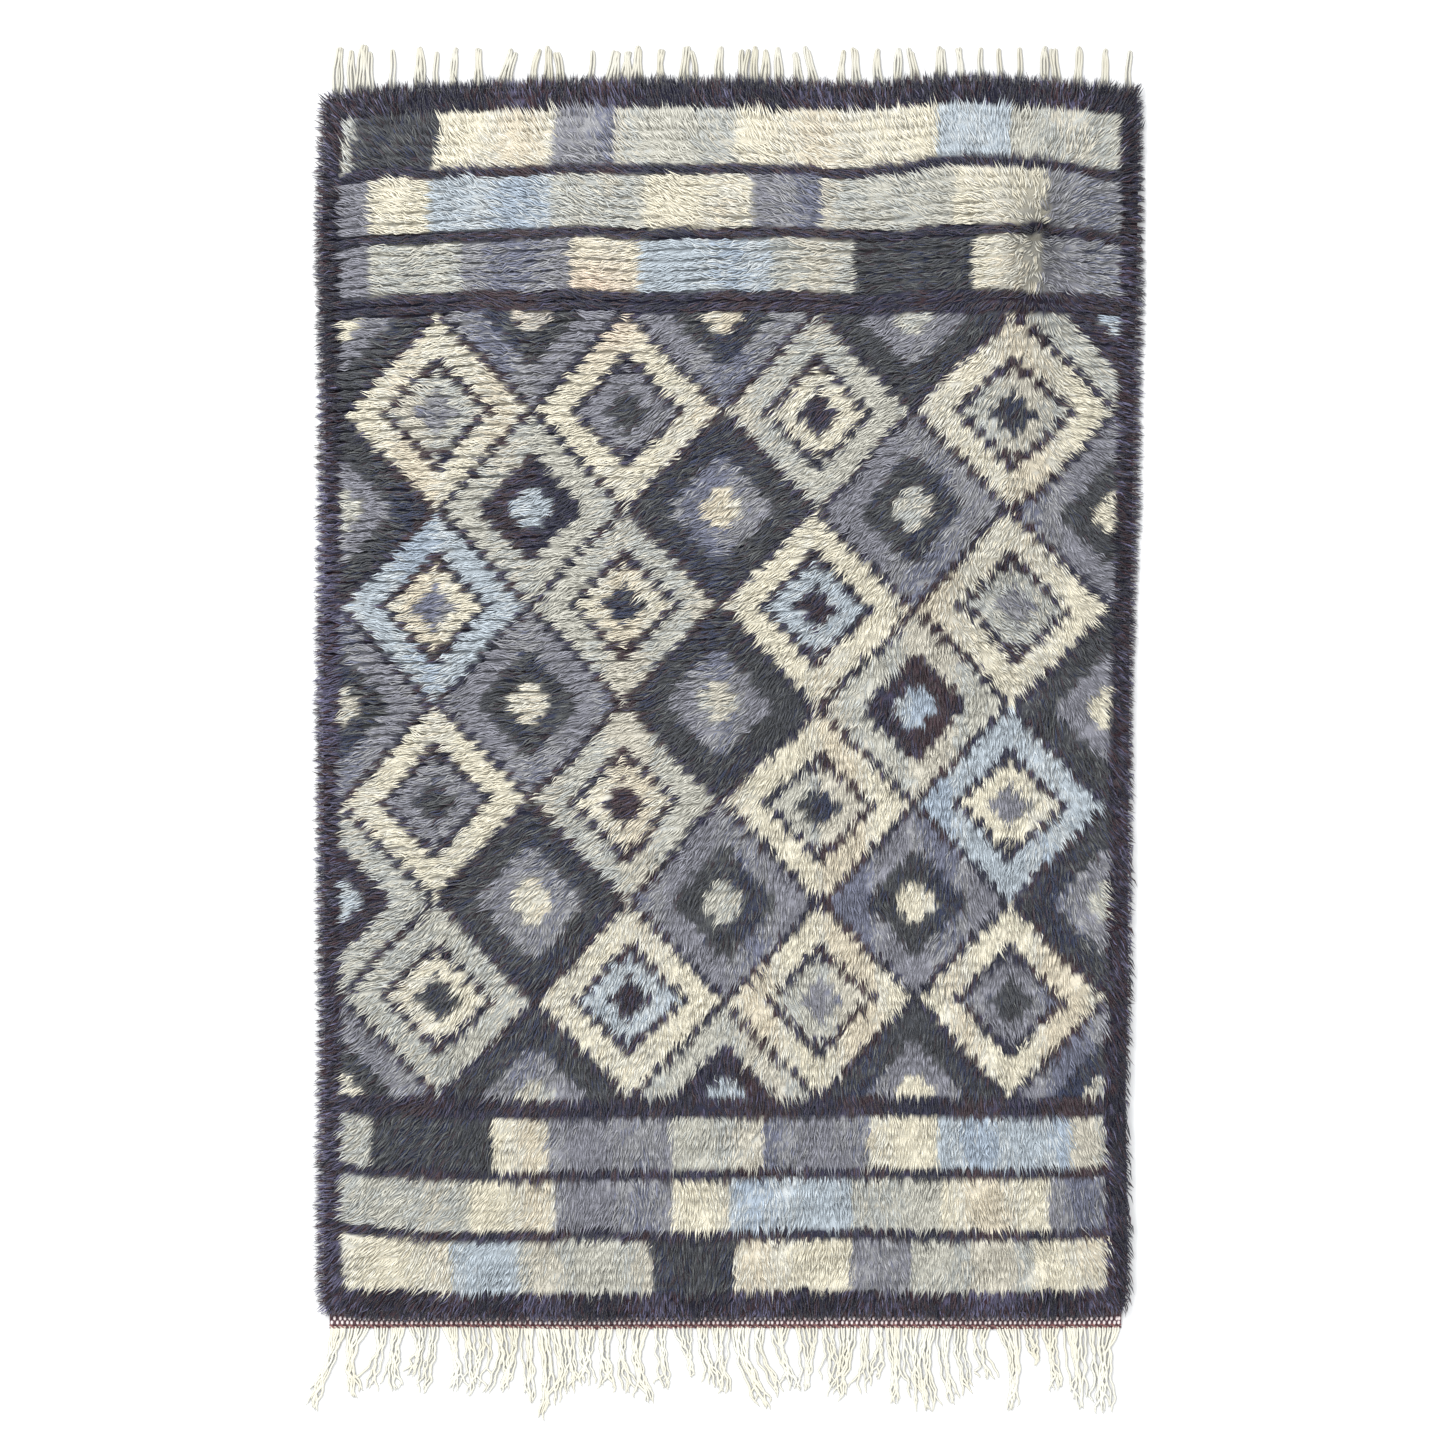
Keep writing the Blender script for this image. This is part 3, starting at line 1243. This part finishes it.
cord_rings = CORD_TWISTS * RINGS_PER_TURN + 1
ply_strand = model_strand(sides=4, rings=cord_rings, pointed=False)
turn_share = np.linspace(0, CORD_TWISTS, cord_rings)
ply_lines = np.empty((2, cord_rings, 3))
for ply in range(2):
    phase = TURN * turn_share + math.pi * ply
    ply_lines[ply, :, 0] = np.linspace(cord_low.x, cord_high.x, cord_rings)
    ply_lines[ply, :, 1] = cord_middle_y + CORD_SWING * np.cos(phase)
    ply_lines[ply, :, 2] = cord_height / 2 + ply_rise * np.sin(phase)
wobble = ripple(ply_lines[0, :, 0], ply_lines[0, :, 0], 0.3, seed=13)
ply_lines[..., 1] += 0.0009 * wobble
ply_radii = np.full((2, cord_rings), PLY_RADIUS)
ply_points = strand_points(ply_strand, ply_lines, ply_radii, np.zeros(2), flatness=1.0)
ply_colours = np.repeat(linear(CORD_COLOURS)[:, None], cord_rings, axis=1)
cord = fill_mesh("twined_plies", ply_strand, ply_points, ply_colours, cord_material())
print("cord faces", len(cord.data.polygons))

# %% [markdown]
# ## Cut fringe
#
# Below the cord the warp hangs free in loose bunches. The table gives each bunch:
# where it leaves the cord, where its tips end, its length and how it bows. Every
# thread in it gets its own start, end, waves and height, so that threads cross
# over and under each other, and the ends splay. They all lie on the floor.

# %% List the bunches
Bunch = namedtuple("Bunch", "left right tip reach threads bow")
BUNCHES = (
    Bunch(-0.577, -0.562, -0.603, 0.119, 9, 0.004),
    Bunch(-0.547, -0.531, -0.544, 0.099, 6, -0.003),
    Bunch(-0.504, -0.496, -0.517, 0.093, 4, 0.003),
    Bunch(-0.486, -0.474, -0.489, 0.089, 6, 0.003),
    Bunch(-0.461, -0.450, -0.464, 0.068, 4, 0.005),
    Bunch(-0.436, -0.428, -0.441, 0.093, 4, 0.002),
    Bunch(-0.408, -0.396, -0.392, 0.093, 6, 0.003),
    Bunch(-0.386, -0.378, -0.374, 0.100, 4, 0.002),
    Bunch(-0.358, -0.350, -0.366, 0.084, 4, 0.002),
    Bunch(-0.341, -0.333, -0.341, 0.099, 4, 0.003),
    Bunch(-0.325, -0.305, -0.325, 0.092, 6, 0.005),
    Bunch(-0.297, -0.285, -0.287, 0.108, 6, 0.003),
    Bunch(-0.277, -0.265, -0.267, 0.132, 6, 0.003),
    Bunch(-0.256, -0.248, -0.249, 0.112, 4, 0.003),
    Bunch(-0.240, -0.226, -0.227, 0.098, 6, 0.003),
    Bunch(-0.214, -0.194, -0.204, 0.082, 6, -0.002),
    Bunch(-0.185, -0.173, -0.167, 0.093, 6, -0.003),
    Bunch(-0.157, -0.149, -0.143, 0.093, 4, -0.002),
    Bunch(-0.134, -0.116, -0.110, 0.109, 6, -0.004),
    Bunch(-0.105, -0.093, -0.086, 0.087, 5, -0.003),
    Bunch(-0.076, -0.054, -0.052, 0.070, 4, -0.004),
    Bunch(-0.040, -0.032, -0.020, 0.084, 4, -0.003),
    Bunch(-0.020, -0.002, -0.003, 0.093, 6, 0.002),
    Bunch(0.012, 0.032, 0.056, 0.118, 8, -0.006),
    Bunch(0.042, 0.050, 0.077, 0.098, 4, -0.006),
    Bunch(0.064, 0.084, 0.096, 0.089, 6, -0.004),
    Bunch(0.106, 0.126, 0.112, 0.089, 6, 0.003),
    Bunch(0.142, 0.152, 0.145, 0.084, 4, 0.003),
    Bunch(0.164, 0.184, 0.163, 0.105, 6, 0.004),
    Bunch(0.195, 0.203, 0.198, 0.093, 4, 0.002),
    Bunch(0.215, 0.223, 0.214, 0.073, 4, 0.002),
    Bunch(0.232, 0.248, 0.250, 0.108, 6, -0.002),
    Bunch(0.258, 0.276, 0.280, 0.119, 6, -0.002),
    Bunch(0.286, 0.300, 0.303, 0.119, 6, -0.002),
    Bunch(0.310, 0.323, 0.329, 0.108, 6, -0.002),
    Bunch(0.335, 0.345, 0.350, 0.100, 4, -0.002),
    Bunch(0.362, 0.376, 0.386, 0.079, 4, -0.003),
    Bunch(0.400, 0.420, 0.412, 0.121, 8, 0.003),
    Bunch(0.432, 0.441, 0.446, 0.051, 4, -0.002),
    Bunch(0.467, 0.481, 0.482, 0.098, 6, -0.003),
    Bunch(0.493, 0.517, 0.512, 0.118, 9, 0.003),
    Bunch(0.528, 0.556, 0.545, 0.124, 10, 0.003),
)
THREAD_RINGS = 21
THREAD_RADIUS = 0.00190
THREAD_SHARE = 1.15
GATHER_LENGTH = 0.038
HOOKED_SHARE = 0.3

# %% Lay the cut fringe
thread = model_strand(sides=4, rings=THREAD_RINGS, pointed=True)
fringe_draw = np.random.default_rng(51)
fringe_start_y = (cord_low.y + cord_high.y) / 2
fringe_root_y = cord_low.y - 0.0053
along = np.linspace(0, 1, THREAD_RINGS)
borders = [(one.right + other.left) / 2 for one, other in zip(BUNCHES, BUNCHES[1:])]
borders = [CORD_LEFT_X, *borders, cord_high.x - PHOTO_X]


def smooth(share):
    share = np.clip(share, 0, 1)
    return share**2 * (3 - 2 * share)


def fringe_thread(draw, cord_spot, spot, bunch, sweep):
    """Middle line of one thread: from the cord into its bunch, then on in an S."""
    reach = bunch.reach * (1 - abs(0.10 * draw.standard_normal()))
    length = reach + fringe_start_y - fringe_root_y
    finish = bunch.tip + 0.0055 * draw.standard_normal()
    waves, shift = draw.uniform(1.2, 3.2), draw.uniform(0, TURN)
    swing = 0.0030 * draw.uniform(0.3, 1.4)
    x = cord_spot + smooth(along * length / GATHER_LENGTH) * (spot - cord_spot)
    x = x + smooth(along) * (finish - spot) + sweep * np.sin(math.pi * along)
    x = x + swing * along * np.sin(TURN * waves * along + shift)
    x = x + 0.0011 * smooth(4 * along) * np.sin(TURN * draw.uniform(4, 6.5) * along + 3 * shift)
    y = fringe_start_y - along * length
    if draw.uniform() < HOOKED_SHARE:
        hook = draw.choice((-1, 1)) * draw.uniform(0.006, 0.015)
        x = x + hook * smooth((along - 0.6) / 0.4)
        y = y + 0.5 * abs(hook) * smooth((along - 0.7) / 0.3)
    z = 0.0024 * draw.uniform(0, 1) * np.sin(math.pi * np.clip(along * 1.15, 0, 1))
    return np.stack([x + PHOTO_X, y, z + 1.05 * THREAD_RADIUS], axis=1)


fringe_lines = []
for number, bunch in enumerate(BUNCHES):
    threads = round(THREAD_SHARE * bunch.threads)
    cord_spots = np.linspace(borders[number], borders[number + 1], threads + 2)[1:-1]
    spots = np.linspace(bunch.left, bunch.right, threads)
    bunch_sweep = 1.3 * bunch.bow + 0.0035 * fringe_draw.standard_normal()
    for cord_spot, spot in zip(cord_spots, spots):
        sweep = bunch_sweep + 0.0030 * fringe_draw.standard_normal()
        fringe_lines.append(fringe_thread(fringe_draw, cord_spot, spot, bunch, sweep))
fringe_lines = np.array(fringe_lines)
taper = np.interp(along, (0, 0.85, 1), (1.0, 0.92, 0.55))
fringe_radii = THREAD_RADIUS * taper * fringe_draw.uniform(0.85, 1.15, (len(fringe_lines), 1))
fringe_rolls = np.zeros(len(fringe_lines))
fringe_points = strand_points(thread, fringe_lines, fringe_radii, fringe_rolls, flatness=0.9)
fringe = fill_mesh("cut_fringe", thread, fringe_points, None, cut_cotton)
print("fringe threads", len(fringe_lines))

# %% [markdown]
# ## Loops of uncut warp
#
# At the upper end the warp was never cut: each thread leaves the weave, turns and
# goes back. Two or three loops stand at each place of the table, a little apart
# and of uneven height. A loop is one strand that runs up, round and down again.

# %% List and lay the loops
Loop = namedtuple("Loop", "x lean height")
LOOPS = (
    Loop(-0.569, 0.005, 0.072),
    Loop(-0.547, -0.002, 0.068),
    Loop(-0.533, 0.003, 0.074),
    Loop(-0.519, -0.005, 0.070),
    Loop(-0.488, 0.002, 0.073),
    Loop(-0.448, 0.001, 0.071),
    Loop(-0.423, 0.001, 0.069),
    Loop(-0.400, 0.001, 0.070),
    Loop(-0.363, 0.003, 0.073),
    Loop(-0.326, 0.013, 0.069),
    Loop(-0.287, 0.011, 0.068),
    Loop(-0.262, 0.000, 0.074),
    Loop(-0.241, -0.006, 0.070),
    Loop(-0.198, 0.002, 0.073),
    Loop(-0.170, 0.009, 0.066),
    Loop(-0.148, 0.004, 0.070),
    Loop(-0.132, 0.002, 0.074),
    Loop(-0.098, 0.001, 0.071),
    Loop(-0.064, 0.002, 0.073),
    Loop(-0.046, -0.003, 0.070),
    Loop(-0.012, 0.000, 0.074),
    Loop(0.020, 0.004, 0.071),
    Loop(0.038, 0.001, 0.074),
    Loop(0.054, -0.002, 0.069),
    Loop(0.075, 0.001, 0.072),
    Loop(0.106, -0.008, 0.069),
    Loop(0.126, -0.010, 0.072),
    Loop(0.164, 0.004, 0.068),
    Loop(0.188, -0.003, 0.073),
    Loop(0.218, 0.003, 0.071),
    Loop(0.246, 0.004, 0.074),
    Loop(0.274, -0.004, 0.070),
    Loop(0.308, 0.005, 0.073),
    Loop(0.340, -0.003, 0.071),
    Loop(0.368, 0.002, 0.070),
    Loop(0.396, 0.001, 0.074),
    Loop(0.424, 0.002, 0.070),
    Loop(0.460, 0.003, 0.072),
    Loop(0.478, -0.002, 0.069),
    Loop(0.510, 0.004, 0.073),
    Loop(0.550, 0.003, 0.070),
    Loop(0.583, 0.002, 0.072),
)
LOOP_RINGS = 17
LOOP_RADIUS = 0.00195
LOOP_HALF_WIDTH = 0.0019
LEG_SPREAD = 0.0010
LOOP_STEP = 0.0060
LEG_SHARE = 0.82

loop_draw = np.random.default_rng(61)
loop_strand = model_strand(sides=4, rings=LOOP_RINGS, pointed=False)
loop_start_y = ground_high.y - 0.001
loop_root = 0.0063
way = np.linspace(-1, 1, LOOP_RINGS)


def loop_thread(draw, loop, offset):
    """Middle line of one loop: up a leg, round the top and down the other leg."""
    half = LOOP_HALF_WIDTH * draw.uniform(0.9, 1.2)
    height = loop_root + loop.height * draw.uniform(0.92, 1.03)
    lean = loop.lean - 0.7 * offset + 0.0020 * draw.standard_normal()
    middle = loop.x + offset + 0.0006 * draw.standard_normal()
    arc = np.clip(1 - np.abs(way) / (1 - LEG_SHARE), 0, 1)
    leg = np.clip((1 - np.abs(way)) / LEG_SHARE, 0, 1)
    y = leg * (height - half) + half * np.sqrt(1 - (1 - arc) ** 2)
    feet = half + LEG_SPREAD * draw.uniform(0.0, 1.0)
    x = middle + np.sign(way) * (1 - arc) * (feet + (half - feet) * leg)
    x = x + lean * (y / height) ** 2
    x = x + 0.0011 * np.sin(TURN * y / 0.055 + draw.uniform(0, TURN))
    z = LOOP_RADIUS + 0.0022 * draw.uniform(0, 1) * np.sin(math.pi * y / height)
    return np.stack([x + PHOTO_X, loop_start_y + y, z], axis=1)


loop_lines = []
for loop in LOOPS:
    count = loop_draw.choice((1, 2, 2, 2, 3))
    for number in range(count):
        offset = LOOP_STEP * (number - 0.5 * (count - 1))
        loop_lines.append(loop_thread(loop_draw, loop, offset))
loop_lines = np.array(loop_lines)
loop_radii = np.full(loop_lines.shape[:2], LOOP_RADIUS)
loop_rolls = np.zeros(len(loop_lines))
loop_points = strand_points(loop_strand, loop_lines, loop_radii, loop_rolls, flatness=0.9)
loops = fill_mesh("loop_fringe", loop_strand, loop_points, None, loop_cotton)
print("loops", len(loop_lines))

# %% [markdown]
# ## Hand the pieces to the frame
#
# Each piece rides on the rug's only body, names the solid that it stands for and
# takes the finish of its slot. The woven sheet is declared as cloth, with its flat
# size and all that is on it.

for piece in [*shag, skirt, bed]:
    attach(piece, "root")
    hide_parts("pile")
for piece, stands_for, finish in (
    (weave, "ground_weave", "ground_wool"),
    (dots, "ground_weave", "cotton_warp"),
    (cord, "twined_cord", "twined_wool"),
    (fringe, "lower_fringe", "cotton_warp"),
    (loops, "upper_fringe", "cotton_loops"),
):
    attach(piece, "root")
    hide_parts(stands_for)

# %% Keep both boxes and finish
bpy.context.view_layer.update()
triangles = 0
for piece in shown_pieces():
    piece.data.calc_loop_triangles()
    triangles += len(piece.data.loop_triangles)
print("triangles in all", triangles, "growth in mm")
